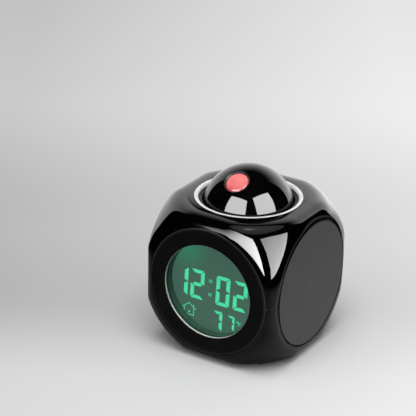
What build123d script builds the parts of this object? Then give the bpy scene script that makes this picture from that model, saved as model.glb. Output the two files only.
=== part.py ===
from build123d import *
import math
import os

# Projection alarm clock, in millimetres. +Z is up, the display faces -Y, and the origin is on the
# floor under the middle of the clock. Heights that start with rel_ are counted from the parting
# line, which is also the height of the middle of the round faces.

# case
body_width = 80.0  # across the flats, the same in all three directions
edge_rounding = 7.5  # radius of the ball that is rolled over every edge
edge_cut = 1.07  # how far the sphere that rounds off the corners cuts into the middle of a sharp edge
wall = 2.2
pad = 1.8  # how much the wall thickens inwards behind the round panels
pad_margin = 1.2  # how far a pad reaches past its panel's recess
seam_depth = 0.15
seam_height = 0.24
lip_height = 1.6
lip_gap = 0.1
lip_end_gap = 0.2
foot_proud = 1.0
foot_recess = 0.5
foot_radius = 4.0
foot_gap = 0.2
foot_x = 23.0
foot_margin = 1.35  # between the battery door's recess and the recesses of the feet

# round panels
bezel_radius = 35.2
bezel_thickness = 2.0
bezel_gap = 0.25
panel_radius = 34.0
panel_thickness = 1.8
panel_gap = 0.45
panel_chamfer = 0.3
peg_radius = 1.5
peg_length = 1.2
peg_inset = 7.0  # from the panel's edge in to the middle of its pegs
peg_gap = 0.1

# display
view_radius = 25.8
liner_wall = 0.4
liner_flange = 0.6
window_thickness = 1.2
window_ledge = 1.0
collar_wall = 1.6
tunnel_length = 3.0
tunnel_flange = 1.2
glass_thickness = 1.0
glass_ledge = 3.0
glass_side_margin = 0.7  # how far the glass reaches past the round opening, left and right
glass_top_margin = 0.2
backlight_thickness = 1.8
rail_width = 0.8
strip_thickness = 2.0
strip_end_gap = 3.0
board_thickness = 1.6
board_gap = 0.3
board_margin = 2.0  # how far the main board reaches past the glass, up and down
board_edge = 2.8  # from a screw out to the board's side
board_corner = 3.0
board_notch_width = 37.0  # the notch lets the head's collar past
board_notch_depth = 6.0
board_notch_gap = 2.0
board_boss_z = 18.0
board_boss_radius = 2.2
board_boss_gap = 0.6  # between a boss and the rail beside it
board_post_gap = 0.5  # between the head of a board screw and the case's post behind it
edge_led_width = 3.5
edge_led_depth = 1.4
edge_led_height = 2.0
chip_radius = 6.5
chip_height = 1.6
crystal_radius = 1.0
crystal_length = 6.0
sensor_radius = 1.3

# head
ball_radius = 24.5
ball_wall = 1.8
ball_sink = 7.6  # how far the ball's middle lies below the case's top face
cup_gap = 0.75  # between the ball and the cup
cup_wall = 1.45
cup_drop = 0.3  # between the cup's rim and the trim ring above it
socket_gap = 0.3  # between the cup and the collar that guides it
socket_wall = 1.6
socket_depth = 13.8
trim_overlap = 0.3  # how far the trim ring reaches in over the cup
trim_proud = 0.2
trim_depth = 1.4
trim_slope = 0.5
trim_rounding = 0.1
press_travel = 1.5
stop_gap = 0.1
pivot_radius = 1.5
pivot_bore = 0.8  # the ball's wires leave through the hollow pins
pivot_running_gap = 0.05
pivot_boss_radius = 3.6
pivot_boss_length = 5.0
pivot_head_radius = 2.6
pivot_head_height = 0.9
washer_thickness = 0.3
keyway_gap = 0.5
seat_radius = 8.4
seat_depth = 1.2  # how far the spring's seat reaches below the cup
stem_radius = 4.0
stem_gap = 0.15
stem_reach = 1.0  # how far the stem comes out below the bridge
spring_height = 6.0
spring_radius = 6.2
spring_wire = 0.8
spring_turns = 3.0
spring_end_gap = 0.05
bridge_thickness = 2.0
bridge_edge = 3.5  # from a screw out to the bridge's end
bridge_boss_y = 14.0
bridge_boss_radius = 3.0
bridge_boss_gap = 1.96  # between a boss and the collar
bridge_post_gap = 0.5  # between the bridge and the posts of the case
cage_wall = 1.5

# projector, along the lens axis from the middle of the ball
lens_tilt = 32.0  # lens axis from the vertical towards the display side
lens_view_radius = 6.2
lens_fit = 0.05
lens_ring_wall = 0.8
lens_ring_bevel = 0.4
lens_ring_slope = 0.6
lens_sink = 3.9  # from the ball's surface in to the lens's seat
lens_rim_thickness = 1.3
lens_crown = 0.8
barrel_wall = 1.0
barrel_back = -1.5
barrel_boss_wall = 1.6
barrel_boss_length = 6.0
slide_inset = 1.8
slide_ledge = 1.0  # the slide is this much shorter the other way
slide_thickness = 1.2
slide_place = 12.0
condenser_thickness = 2.4
condenser_bulge = 1.2  # the condenser's sphere, in bores of the barrel
condenser_place = 6.6
led_radius = 2.5
led_height = 5.6
led_flange = 0.4
led_flange_thickness = 1.0

# controls on the rear panel
rear_recess = 1.5  # the rear panel lies this far in, so that the controls aren't proud of the case
rear_thickness = 2.0
rear_ledge = 3.5  # what the panel rests on in its recess
button_radius = 3.8
button_gap = 0.25
button_proud = 1.2
button_travel = 0.8
button_flange = 1.0
button_flange_gap = 0.2
button_flange_thickness = 0.9
button_pitch = 13.0
button_row = 11.0
key_board_edge = 2.4  # from a screw out to the key board's edge
key_board_gap = 0.3
switch_size = 6.0
switch_height = 2.5
plunger_radius = 1.75
plunger_height = 0.8
knob_width = 4.0
knob_depth = 3.0
knob_row = 21.0
knob_travel = 3.0
knob_gap = 0.3
knob_proud = 1.4
knob_rounding = 0.5
knob_side_flange = 0.8
knob_end_flange = 1.2
tongue_width = 1.4
tongue_depth = 1.2
slider_length = 10.0
slider_depth = 5.0
slider_height = 4.0
post_radius = 2.0
post_gap = 0.73  # between a post and the flange of the button beside it
post_angle = 30.0  # how far the outer posts lie below the buttons
post_row_step = 3.0  # from the knob's row up to the upper posts
speaker_radius = 13.0
speaker_gap = 0.3
speaker_wall = 1.4
speaker_wall_depth = 2.0
speaker_depth = 4.6
speaker_rim = 1.6
speaker_sheet = 0.8
magnet_radius = 7.0
magnet_depth = 3.0
magnet_seat = 1.5
cone_gap = 0.1
cone_thickness = 0.5
cone_rise = 1.2
dust_cap_radius = 3.4
hole_radius = 0.95
hole_ring = 3.7
jack_nose_radius = 3.3
jack_gap = 0.2
jack_bore = 1.8
jack_pin = 0.65
jack_pin_drop = 0.6
jack_drop = 0.4
jack_depth = 9.0
jack_width = 9.0
jack_height = 6.4
jack_length = 10.5

# batteries
cell_radius = 5.25
cell_length = 44.5
cell_gap = 0.3
cell_rounding = 0.6
cap_radius = 1.9
cap_height = 1.0
contact_room = 2.55  # at each end of a cell
contact_thickness = 0.4
contact_gap = 0.1
contact_width = 8.0
plate_height = 7.0
leaf_width = 5.0
leaf_reach = 3.2  # half the length of the leaf's arc
tray_wall = 1.4
tray_gap = 0.2
door_thickness = 1.8
door_gap = 0.3
door_ledge = 1.2
door_corner = 3.0
door_chamfer = 0.3
latch_inset = 5.5
latch_length = 6.0
latch_width = 10.0
latch_slot = 0.5
grip_pitch = 2.0
grip_width = 0.8
grip_length = 7.0
grip_depth = 0.4

# screws
screw_radius = 1.2
screw_fit = 0.02
screw_clearance = 0.2
screw_head_radius = 2.3
screw_head_height = 1.5
pilot_depth = 8.0
pilot_end = 1.0  # how far a pilot hole runs past the tip of its screw
case_post_radius = 3.4
case_post_step = 0.4  # the upper half's posts are this much thinner
case_screw_depth = 26.0  # from the underside up to the head's seat
case_screw_length = 22.0
small_screw_length = 5.5

half = body_width / 2
bottom = foot_proud
middle = bottom + half
top = bottom + body_width
inner = half - wall
pad_depth = wall + pad
corner_sphere = math.sqrt(2) * half - edge_cut
rel_ball = half - ball_sink
ball_centre = Location((0, 0, middle + rel_ball))
lens_axis = Location((0, 0, middle + rel_ball), (lens_tilt, 0, 0))

# each side face has a frame of its own: Z outwards, Y up, origin in the middle of the face
front = Plane((0, -half, middle), x_dir=(1, 0, 0), z_dir=(0, -1, 0)).location
rear = Plane((0, half - rear_recess, middle), x_dir=(-1, 0, 0), z_dir=(0, 1, 0)).location
right = Plane((half, 0, middle), x_dir=(0, 1, 0), z_dir=(1, 0, 0)).location
left = Plane((-half, 0, middle), x_dir=(0, -1, 0), z_dir=(-1, 0, 0)).location
level = Location((0, 0, middle))

nodes = {}


def drum(radius, low, high, x=0.0, y=0.0):
    """A cylinder along Z between two heights."""
    base = (Align.CENTER, Align.CENTER, Align.MIN)
    return Pos(x, y, low) * Cylinder(radius, high - low, align=base)


def ring(outer, bore, low, high, x=0.0, y=0.0):
    return drum(outer, low, high, x, y) - drum(bore, low, high, x, y)


def slab(width, depth, low, high, x=0.0, y=0.0):
    """A box along Z between two heights."""
    base = (Align.CENTER, Align.CENTER, Align.MIN)
    return Pos(x, y, low) * Box(width, depth, high - low, align=base)


def rounded_slab(width, depth, corner, low, high):
    outline = RectangleRounded(width, depth, corner)
    return Pos(0, 0, low) * extrude(outline, high - low)


def lathe(points):
    """A turned solid from its half profile, given as radius and height pairs."""
    outline = make_face(Polyline(*[(r, 0, z) for r, z in points], close=True))
    return revolve(outline, Axis.Z)


def cap_of(base_radius, height):
    """The radius of the sphere whose cap has that base and height."""
    return (base_radius ** 2 + height ** 2) / (2 * height)


def corners(x, y):
    return [(sx * x, sy * y) for sx in (-1, 1) for sy in (-1, 1)]


def screw(low, high, x, y):
    """A pan head screw: the shank runs from low to high, and its head is below low."""
    underside = low - screw_head_height
    head = drum(screw_head_radius, underside, low, x, y)
    head = chamfer(head.edges().group_by(Axis.Z)[0], screw_head_height / 4)
    slot_width = screw_head_radius / 5
    slot_top = underside + screw_head_height / 2
    slot = slab(screw_head_radius, slot_width, underside, slot_top, x, y)
    slot += slab(slot_width, screw_head_radius, underside, slot_top, x, y)
    return head + drum(screw_radius, low, high, x, y) - slot


def tact_switch(x, y, base):
    """A square key switch that stands on a board, with its plunger up."""
    body_top = base + switch_height
    body = slab(switch_size, switch_size, base, body_top, x, y)
    return body + drum(plunger_radius, body_top, body_top + plunger_height, x, y)


# ---------------------------------------------------------------- case

# battery tray: its size sets the door in the underside, and with the bridge the place of the feet
cell_pitch = 2 * cell_radius + cell_gap
tray_length = cell_length + 2 * contact_room
tray_width = 2 * cell_pitch + 2 * cell_radius + 2 * tray_gap
door_length = tray_length + 2 * door_ledge
door_width = tray_width + 2 * door_ledge
door_top = bottom + door_thickness
cell_z = door_top + door_gap + cell_radius
tray_top = cell_z + cell_radius + tray_gap
past_door = door_width / 2 + foot_margin + foot_gap + foot_radius
past_bridge = bridge_boss_y + bridge_boss_radius + bridge_post_gap + case_post_radius
foot_y = max(past_door, past_bridge)

# rear controls: the rows are packed downwards from the buttons, speaker first, then power inlet
flange_radius = button_radius + button_flange
speaker_row = button_row - flange_radius - speaker_gap - speaker_wall - speaker_radius
jack_row = speaker_row - speaker_radius - speaker_wall - jack_gap - jack_height / 2


def rounded_cube(inset):
    """The case's form, moved inwards by inset: a cube cut by a sphere, with rolled edges."""
    core = Box(*[2 * (half - edge_rounding)] * 3) & Sphere(corner_sphere - edge_rounding)
    return level * offset(core, edge_rounding - inset)


recess_radius = {"front": bezel_radius + bezel_gap, "side": panel_radius + panel_gap}
case_shell = rounded_cube(0)
cavity = rounded_cube(wall)
for face, kind in ((front, "front"), (rear, "side"), (right, "side"), (left, "side")):
    cavity -= face * drum(recess_radius[kind] + pad_margin, -pad_depth, wall)
case_shell -= cavity

# recesses for the round panels, with the display and the controls open to the inside
liner_outer = view_radius + liner_wall
window_radius = liner_outer + window_ledge
collar_bore = window_radius + peg_gap
collar_radius = collar_bore + collar_wall
rear_opening = panel_radius - rear_ledge
peg_circle = panel_radius - peg_inset
case_shell -= front * drum(recess_radius["front"], -bezel_thickness, half)
case_shell -= front * drum(collar_radius + bezel_gap, -half / 2, 0)
case_shell -= rear * drum(recess_radius["side"], -rear_thickness, half)
case_shell -= rear * drum(rear_opening, -half / 4, 0)
case_shell -= rear * slab(jack_width + 2 * jack_gap, jack_height + 2 * jack_gap, -half / 4, 0, 0,
                          jack_row)
for face in (left, right):
    case_shell -= face * drum(recess_radius["side"], -panel_thickness, half)
    with PolarLocations(peg_circle, 3, start_angle=90) as pegs:
        for peg in pegs.locations:
            case_shell -= face * peg * drum(peg_radius + peg_gap,
                                            -panel_thickness - peg_length - peg_gap, 0)

# collar that guides the head, with a keyway for the head of each pivot pin
cup_bore = ball_radius + cup_gap
cup_radius = cup_bore + cup_wall
socket_radius = cup_radius + socket_gap
collar_outer = socket_radius + socket_wall
rel_socket_bottom = inner - socket_depth
keyway_half = pivot_head_radius + keyway_gap
collar = ring(collar_outer, socket_radius, rel_socket_bottom, inner)
collar -= slab(4 * half, 2 * keyway_half, rel_socket_bottom, rel_ball + keyway_half)
case_shell += level * collar
case_shell -= level * drum(socket_radius, rel_socket_bottom, 2 * half)

# posts for the screws that hold the two halves together
case_screw_low = bottom + case_screw_depth
case_screw_high = case_screw_low + case_screw_length
for x, y in corners(foot_x, foot_y):
    case_shell += drum(case_post_radius, bottom + wall / 2, middle, x, y)
    case_shell += drum(case_post_radius - case_post_step, middle, top - wall / 2, x, y)
    case_shell -= drum(foot_radius + foot_gap, 0, bottom + foot_recess, x, y)
    case_shell -= drum(screw_head_radius + screw_clearance, 0, case_screw_low, x, y)
    case_shell -= drum(screw_radius + screw_clearance, 0, middle, x, y)
    case_shell -= drum(screw_radius + screw_fit, middle, case_screw_high + pilot_end, x, y)

# bosses behind the display for the main board, outside the rails that hold the glass and clear
# of the posts
lcd_width = 2 * (view_radius + glass_side_margin)
lcd_height = 2 * (view_radius + glass_top_margin)
past_rails = lcd_width / 2 + peg_gap + rail_width + board_boss_gap + board_boss_radius
past_posts = foot_x + case_post_radius + board_post_gap + screw_head_radius
board_boss_x = max(past_rails, past_posts)
window_back = -bezel_thickness - window_thickness
tunnel_back = window_back - tunnel_length
lcd_face = tunnel_back - tunnel_flange
backlight_face = lcd_face - 2 * glass_thickness
stack_back = backlight_face - backlight_thickness
board_front = stack_back - board_gap
board_back = board_front - board_thickness
for x, z in corners(board_boss_x, board_boss_z):
    boss = drum(board_boss_radius, board_front, -pad_depth + wall / 4, x, z)
    boss -= drum(screw_radius + screw_fit, board_front, -pad_depth, x, z)
    case_shell += front * boss

upper_shell = case_shell & (level * slab(4 * half, 4 * half, 0, 2 * half))
lower_shell = case_shell & (level * slab(4 * half, 4 * half, -2 * half, 0))

# bosses beside the collar that carry the bridge below the head, from the top wall down
rel_cup_bottom = rel_ball - cup_radius
rel_seat = rel_cup_bottom - seat_depth
rel_bridge_top = rel_seat - spring_height
rel_bridge_bottom = rel_bridge_top - bridge_thickness
boss_reach = collar_outer + bridge_boss_gap + bridge_boss_radius
bridge_boss_x = math.sqrt(boss_reach ** 2 - bridge_boss_y ** 2)
for x, y in corners(bridge_boss_x, bridge_boss_y):
    boss = drum(bridge_boss_radius, rel_bridge_top, half - wall / 2, x, y)
    boss -= drum(screw_radius + screw_fit, rel_bridge_top, rel_bridge_top + pilot_depth, x, y)
    upper_shell += level * boss

# the lip of the lower half, in the four upright edges, and its rebate in the upper half
lip_inset = wall / 2
lip_form = rounded_cube(lip_inset)
rebate_form = rounded_cube(lip_inset - lip_gap)
rebate_width = 2 * (half - recess_radius["front"] - lip_end_gap)
lip_width = rebate_width - 2 * lip_end_gap
for x, y in corners(half, half):
    zone = level * slab(lip_width, lip_width, -wall, lip_height, x, y)
    rebate = level * slab(rebate_width, rebate_width, 0, lip_height + lip_gap, x, y)
    upper_shell -= rebate & rebate_form
    lower_shell += (zone & lip_form) - cavity

# the parting line shows as a fine groove
groove = level * slab(4 * half, 4 * half, -seam_height / 2, seam_height / 2)
groove -= rounded_cube(seam_depth)

# the tray is let into the underside and opens downwards
lower_shell += slab(tray_length + 2 * tray_wall, tray_width + 2 * tray_wall, door_top,
                    tray_top + tray_wall)
lower_shell -= slab(tray_length, tray_width, 0, tray_top)
lower_shell -= rounded_slab(door_length, door_width, door_corner, 0, door_top)

nodes["upper_housing"] = upper_shell - groove
nodes["lower_housing"] = lower_shell - groove

for face, name in ((left, "left_side_panel"), (right, "right_side_panel")):
    panel = drum(panel_radius, -panel_thickness, 0)
    panel = chamfer(panel.edges().group_by(Axis.Z)[-1], panel_chamfer)
    with PolarLocations(peg_circle, 3, start_angle=90) as pegs:
        for peg in pegs.locations:
            panel += peg * drum(peg_radius, -panel_thickness - peg_length, -panel_thickness)
    nodes[name] = face * panel

for side_x, side_y, name in ((-1, -1, "foot_front_left"), (1, -1, "foot_front_right"),
                             (-1, 1, "foot_rear_left"), (1, 1, "foot_rear_right")):
    foot = drum(foot_radius, 0, foot_proud + foot_recess, side_x * foot_x, side_y * foot_y)
    nodes[name] = fillet(foot.edges().group_by(Axis.Z)[0], foot_proud / 2)

nodes["case_screws"] = [screw(case_screw_low, case_screw_high, x, y)
                        for x, y in corners(foot_x, foot_y)]

# ---------------------------------------------------------------- display

bezel = ring(bezel_radius, liner_outer + lens_fit, -bezel_thickness, 0)
bezel = chamfer(bezel.edges().filter_by(GeomType.CIRCLE).group_by(Axis.Z)[-1], panel_chamfer)
bezel -= drum(liner_outer + liner_flange + lens_fit, -bezel_thickness,
              -bezel_thickness + liner_flange)
bezel += ring(collar_radius, collar_bore, tunnel_back, -bezel_thickness)
nodes["front_bezel"] = front * bezel

nodes["display_ring"] = front * lathe([
    (view_radius, -bezel_thickness),
    (liner_outer + liner_flange, -bezel_thickness),
    (liner_outer + liner_flange, -bezel_thickness + liner_flange),
    (liner_outer, -bezel_thickness + liner_flange),
    (liner_outer, -panel_chamfer),
    (view_radius, -panel_chamfer),
])

nodes["display_window"] = front * drum(window_radius, window_back, -bezel_thickness)

# light tunnel: a short tube on a flange, with a rail down each side for the glass
rail_place = lcd_width / 2 + peg_gap + rail_width / 2
shroud = drum(window_radius, tunnel_back, window_back)
shroud += slab(2 * rail_place + rail_width, lcd_height + 2 * rail_width, lcd_face, tunnel_back)
for side in (-1, 1):
    shroud += slab(rail_width, lcd_height, stack_back, lcd_face, side * rail_place)
nodes["display_shroud"] = front * (shroud - drum(view_radius, lcd_face, window_back))

# the front glass is longer than the rear one: its ledge carries the contacts
lcd = slab(lcd_width, lcd_height, backlight_face, lcd_face)
lcd += slab(lcd_width, lcd_height + glass_ledge, lcd_face - glass_thickness, lcd_face, 0,
            -glass_ledge / 2)
nodes["lcd_panel"] = front * lcd
nodes["backlight_panel"] = front * slab(lcd_width, lcd_height, stack_back, backlight_face)

# the notch in the main board leaves room for the collar, with a light on each side of it
board_top = lcd_height / 2 + board_margin
board_bottom = lcd_height / 2 + glass_ledge + board_margin
board_width = 2 * (board_boss_x + board_edge)
notch_low = min(board_top - board_notch_depth, rel_socket_bottom - board_notch_gap)
board = Pos(0, (board_top - board_bottom) / 2) * rounded_slab(
    board_width, board_top + board_bottom, board_corner, board_back, board_front)
board -= slab(board_notch_width, 2 * (board_top - notch_low), board_back, board_front, 0, board_top)
for x, z in corners(board_boss_x, board_boss_z):
    board -= drum(screw_radius + screw_clearance, board_back, board_front, x, z)
nodes["main_board"] = front * board
nodes["board_screws"] = [front * screw(board_back, board_back + small_screw_length, x, z)
                         for x, z in corners(board_boss_x, board_boss_z)]

edge_led_x = board_notch_width / 2 + edge_led_width
edge_led_z = lcd_height / 2 + 0.2 + edge_led_depth / 2
nodes["backlight_leds"] = [
    front * slab(edge_led_width, edge_led_depth, board_front, board_front + edge_led_height,
                 side * edge_led_x, edge_led_z)
    for side in (-1, 1)]
nodes["zebra_strip"] = front * slab(lcd_width - 2 * strip_end_gap, strip_thickness, board_front,
                                    lcd_face - glass_thickness, 0,
                                    -lcd_height / 2 - glass_ledge / 2)

chip_sphere = cap_of(chip_radius, chip_height)
blob = Pos(0, 0, chip_sphere - chip_height) * Sphere(chip_sphere)
blob &= slab(4 * chip_radius, 4 * chip_radius, -chip_height, 0)
nodes["clock_chip"] = front * Pos(8, -6, board_back) * blob
lying = Rot(0, 90, 0)
nodes["crystal"] = front * Pos(-12, -8, board_back - crystal_radius) * (
    lying * Cylinder(crystal_radius, crystal_length))
nodes["temperature_sensor"] = front * Pos(-12, -24, board_back - sensor_radius) * Sphere(
    sensor_radius)

# ---------------------------------------------------------------- head

trim_inner = socket_radius - trim_overlap
nodes["trim_ring"] = Pos(0, 0, top) * lathe([
    (trim_inner - trim_slope, -trim_depth),
    (socket_radius - peg_gap, -trim_depth),
    (socket_radius - peg_gap, 0),
    (collar_outer, 0),
    (collar_outer, trim_proud - trim_rounding),
    (collar_outer - trim_rounding, trim_proud),
    (trim_inner, trim_proud),
])

# the cup: a bowl with a straight guide above the ball's middle and a stem below
rel_cup_rim = half - trim_depth - cup_drop
rel_stem_bottom = rel_bridge_bottom - stem_reach
at_ball = Pos(0, 0, rel_ball)
cup = drum(cup_radius, rel_ball, rel_cup_rim) + at_ball * Sphere(cup_radius)
cup &= slab(4 * half, 4 * half, rel_cup_bottom - 1, rel_cup_rim)
cup += drum(seat_radius, rel_seat, rel_cup_bottom + 2 * cup_wall)
cup += drum(stem_radius, rel_stem_bottom, rel_seat)
cup -= at_ball * Sphere(cup_bore)
cup -= at_ball * lying * Cylinder(pivot_radius + pivot_running_gap, 4 * half)
nodes["head_cup"] = level * cup

# ball: two shells that meet at the pivot line, with a boss for each pin and one for the lens
ball_bore = ball_radius - ball_wall
mid_shell = ball_radius - ball_wall / 2
boss_end = mid_shell - pivot_boss_length
ball = lying * (Sphere(ball_radius) - Sphere(ball_bore))
for side in (-1, 1):
    low, high = sorted((side * boss_end, side * mid_shell))
    ball += lying * drum(pivot_boss_radius, low, high)
ball -= lying * drum(pivot_radius, -ball_radius, ball_radius)
lens_seat = ball_radius - lens_sink
lens_hole_radius = lens_view_radius + lens_ring_wall
barrel_radius = lens_hole_radius
barrel_boss_low = lens_seat - barrel_boss_length
lens_boss = ring(barrel_radius + barrel_boss_wall, barrel_radius + lens_fit, barrel_boss_low,
                 ball_radius)
lens_boss &= Sphere(mid_shell)
tilt = Rot(lens_tilt, 0, 0)
ball += tilt * lens_boss
ball -= tilt * drum(lens_hole_radius, lens_seat - 1, 2 * ball_radius)
ball -= tilt * drum(barrel_radius + lens_fit, barrel_boss_low, lens_seat)
upper_ball = ball & slab(4 * ball_radius, 4 * ball_radius, 0, 2 * ball_radius)
lower_ball = ball & slab(4 * ball_radius, 4 * ball_radius, -2 * ball_radius, 0)

# a lip on the lower shell centres the upper one
lip_outer = ball_bore - lip_gap
lip_bore = lip_outer - ball_wall / 2
ball_lip = ring(lip_outer, lip_bore, -lip_height, lip_height)
ball_lip &= Sphere(lip_outer + lip_gap / 2)
ball_lip -= lying * drum(pivot_boss_radius + lip_gap, -ball_radius, ball_radius)
ball_lip += (Sphere(mid_shell) - Sphere(lip_bore)
             & slab(4 * ball_radius, 4 * ball_radius, -lip_height, 0))
ball_lip -= lying * drum(pivot_radius, -ball_radius, ball_radius)
nodes["ball_upper"] = ball_centre * upper_ball
nodes["ball_lower"] = ball_centre * (lower_ball + ball_lip)

pin_seat = cup_radius + washer_thickness
pins = []
washers = []
for side in (-1, 1):
    pin = drum(pivot_radius, boss_end, pin_seat)
    pin += drum(pivot_head_radius, pin_seat, pin_seat + pivot_head_height)
    pin -= drum(pivot_bore, boss_end, pin_seat + pivot_head_height)
    washer = ring(pivot_head_radius, pivot_radius + pivot_running_gap, cup_radius, pin_seat)
    outwards = ball_centre * Rot(0, side * 90, 0)
    pins.append(outwards * pin)
    washers.append(outwards * washer)
nodes["pivot_pins"] = pins
nodes["friction_washers"] = washers

# projector, on the lens axis
lens_rim_top = lens_seat + lens_rim_thickness
ring_radius = lens_hole_radius - lens_fit
ring_top = math.sqrt(ball_radius ** 2 - ring_radius ** 2) - lens_fit
nodes["lens_ring"] = lens_axis * lathe([
    (lens_view_radius, lens_rim_top),
    (ring_radius, lens_rim_top),
    (ring_radius, ring_top),
    (lens_view_radius + lens_ring_bevel, ring_top),
    (lens_view_radius, ring_top - lens_ring_slope),
])
crown_sphere = cap_of(lens_view_radius, lens_crown)
crown = Pos(0, 0, lens_rim_top + lens_crown - crown_sphere) * Sphere(crown_sphere)
crown &= drum(lens_view_radius - lens_fit, lens_rim_top, lens_rim_top + 2 * lens_crown)
nodes["projection_lens"] = lens_axis * (crown + drum(ring_radius, lens_seat, lens_rim_top))

barrel_bore = barrel_radius - barrel_wall
barrel_flange = barrel_radius + barrel_boss_wall
barrel = drum(barrel_radius, barrel_back, lens_seat)
barrel += drum(barrel_flange, barrel_back, barrel_back + barrel_wall)
barrel -= drum(barrel_bore, barrel_back, lens_seat)
nodes["lens_barrel"] = lens_axis * barrel
slide_width = 2 * (barrel_bore - slide_inset)
nodes["time_slide"] = lens_axis * slab(slide_width, slide_width - slide_ledge, slide_place,
                                       slide_place + slide_thickness)
condenser_sphere = condenser_bulge * barrel_bore
condenser = Pos(0, 0, condenser_thickness - condenser_sphere) * Sphere(condenser_sphere)
condenser &= drum(barrel_bore - peg_gap, 0, condenser_thickness)
nodes["condenser_lens"] = lens_axis * Pos(0, 0, condenser_place) * condenser
led_dome = barrel_back + led_height - led_radius
led = drum(led_radius, barrel_back, led_dome) + Pos(0, 0, led_dome) * Sphere(led_radius)
led += drum(led_radius + led_flange, barrel_back, barrel_back + led_flange_thickness)
nodes["projection_led"] = lens_axis * led
nodes["led_board"] = lens_axis * drum(barrel_flange, barrel_back - board_thickness, barrel_back)

# what the head is pressed against: a bridge with a switch in a cage below the stem
cage_width = 2 * (stem_radius + stem_gap + cage_wall)
rel_switch_top = rel_stem_bottom - press_travel - stop_gap
rel_cage_floor = rel_switch_top - switch_height - plunger_height
bridge = slab(2 * (bridge_boss_x + bridge_edge), 2 * (bridge_boss_y + bridge_boss_radius),
              rel_bridge_bottom, rel_bridge_top)
bridge = fillet(bridge.edges().filter_by(Axis.Z), bridge_boss_radius)
bridge -= drum(stem_radius + stem_gap, rel_bridge_bottom, rel_bridge_top)
for side in (-1, 1):
    bridge += slab(cage_wall, cage_width, rel_cage_floor - cage_wall, rel_bridge_bottom,
                   side * (cage_width - cage_wall) / 2)
bridge += slab(cage_width, cage_width, rel_cage_floor - cage_wall, rel_cage_floor)
for x, y in corners(bridge_boss_x, bridge_boss_y):
    bridge -= drum(screw_radius + screw_clearance, rel_bridge_bottom, rel_bridge_top, x, y)
nodes["switch_bridge"] = level * bridge
nodes["bridge_screws"] = [level * screw(rel_bridge_bottom, rel_bridge_bottom + small_screw_length,
                                        x, y)
                          for x, y in corners(bridge_boss_x, bridge_boss_y)]
nodes["head_switch"] = level * tact_switch(0, 0, rel_cage_floor)

coil_height = spring_height - spring_wire - 2 * spring_end_gap
coil = Helix(coil_height / spring_turns, coil_height, spring_radius)
coil_start = Plane(coil @ 0, x_dir=(0, 0, 1), z_dir=coil % 0)
spring = sweep(coil_start * Rectangle(spring_wire, spring_wire), coil, is_frenet=True)
rel_coil = rel_bridge_top + spring_end_gap + spring_wire / 2
nodes["head_spring"] = level * Pos(0, 0, rel_coil) * spring

# ---------------------------------------------------------------- rear controls

button_x = [(column - 1.5) * button_pitch for column in range(4)]
flange_top = -rear_thickness - button_flange_gap
board_floor = (flange_top - button_flange_thickness - button_travel - stop_gap
               - plunger_height - switch_height)
key_board_back = board_floor - board_thickness
post_reach = flange_radius + post_gap + post_radius
low_post_x = button_x[-1] + post_reach * math.cos(math.radians(post_angle))
low_post_y = button_row - post_reach * math.sin(math.radians(post_angle))
high_post_y = knob_row + post_row_step
post_places = [(-low_post_x, low_post_y), (low_post_x, low_post_y),
               (-button_pitch, high_post_y), (button_pitch, high_post_y)]

panel = drum(panel_radius, -rear_thickness, 0)
panel = chamfer(panel.edges().group_by(Axis.Z)[-1], panel_chamfer)
for x, y in post_places:
    panel += drum(post_radius, board_floor, -rear_thickness, x, y)
    panel -= drum(screw_radius + screw_fit, board_floor, -rear_thickness - wall / 4, x, y)
for x in button_x:
    panel -= drum(button_radius + button_gap, -rear_thickness, 0, x, button_row)
panel -= slab(knob_width + knob_travel + 2 * knob_gap, knob_depth + 2 * knob_gap,
              -rear_thickness, 0, 0, knob_row)
panel -= drum(jack_nose_radius + jack_gap, -rear_thickness, 0, 0, jack_row)
panel -= drum(hole_radius, -rear_thickness, 0, 0, speaker_row)
for turn in (1, 2):
    with PolarLocations(turn * hole_ring, 6 * turn) as holes:
        for hole in holes.locations:
            panel -= Pos(0, speaker_row, 0) * hole * drum(hole_radius, -rear_thickness, 0)
panel += ring(speaker_radius + speaker_wall, speaker_radius + peg_gap,
              -rear_thickness - speaker_wall_depth, -rear_thickness, 0, speaker_row)
nodes["rear_panel"] = rear * panel

for x, name in zip(button_x, ("mode_button", "set_button", "down_button", "up_button")):
    cap = drum(button_radius, flange_top, button_proud, x, button_row)
    cap = fillet(cap.edges().group_by(Axis.Z)[-1], button_proud / 2)
    cap += drum(flange_radius, flange_top - button_flange_thickness, flange_top, x, button_row)
    nodes[name] = rear * cap

# the key board hangs on the panel's posts and goes through the case's opening with it
key_board_low = low_post_y - key_board_edge
key_board_high = high_post_y + key_board_edge
key_board = slab(2 * (low_post_x + key_board_edge), key_board_high - key_board_low,
                 key_board_back, board_floor, 0, (key_board_high + key_board_low) / 2)
key_board &= drum(rear_opening - key_board_gap, key_board_back, board_floor)
for x, y in post_places:
    key_board -= drum(screw_radius + screw_clearance, key_board_back, board_floor, x, y)
nodes["key_board"] = rear * key_board
nodes["key_board_screws"] = [rear * screw(key_board_back, key_board_back + small_screw_length,
                                          x, y) for x, y in post_places]
nodes["key_switches"] = [rear * tact_switch(x, button_row, board_floor) for x in button_x]

# slide switch: the knob's tongue moves in a slot in the top of the switch
slider_top = board_floor + slider_height
slider = slab(slider_length, slider_depth, board_floor, slider_top, 0, knob_row)
slider -= slab(knob_travel + tongue_width + 2 * knob_gap, tongue_width + 2 * knob_gap,
               slider_top - tongue_depth - knob_gap, slider_top, 0, knob_row)
nodes["projector_switch"] = rear * slider
knob_x = -knob_travel / 2
knob = slab(knob_width, knob_depth, flange_top, knob_proud, knob_x, knob_row)
knob = fillet(knob.edges().group_by(Axis.Z)[-1], knob_rounding)
knob += slab(knob_width + 2 * knob_side_flange, knob_depth + 2 * knob_end_flange,
             flange_top - button_flange_thickness, flange_top, knob_x, knob_row)
knob += slab(tongue_width, tongue_width, slider_top - tongue_depth, flange_top, knob_x, knob_row)
nodes["projector_knob"] = rear * knob

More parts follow.
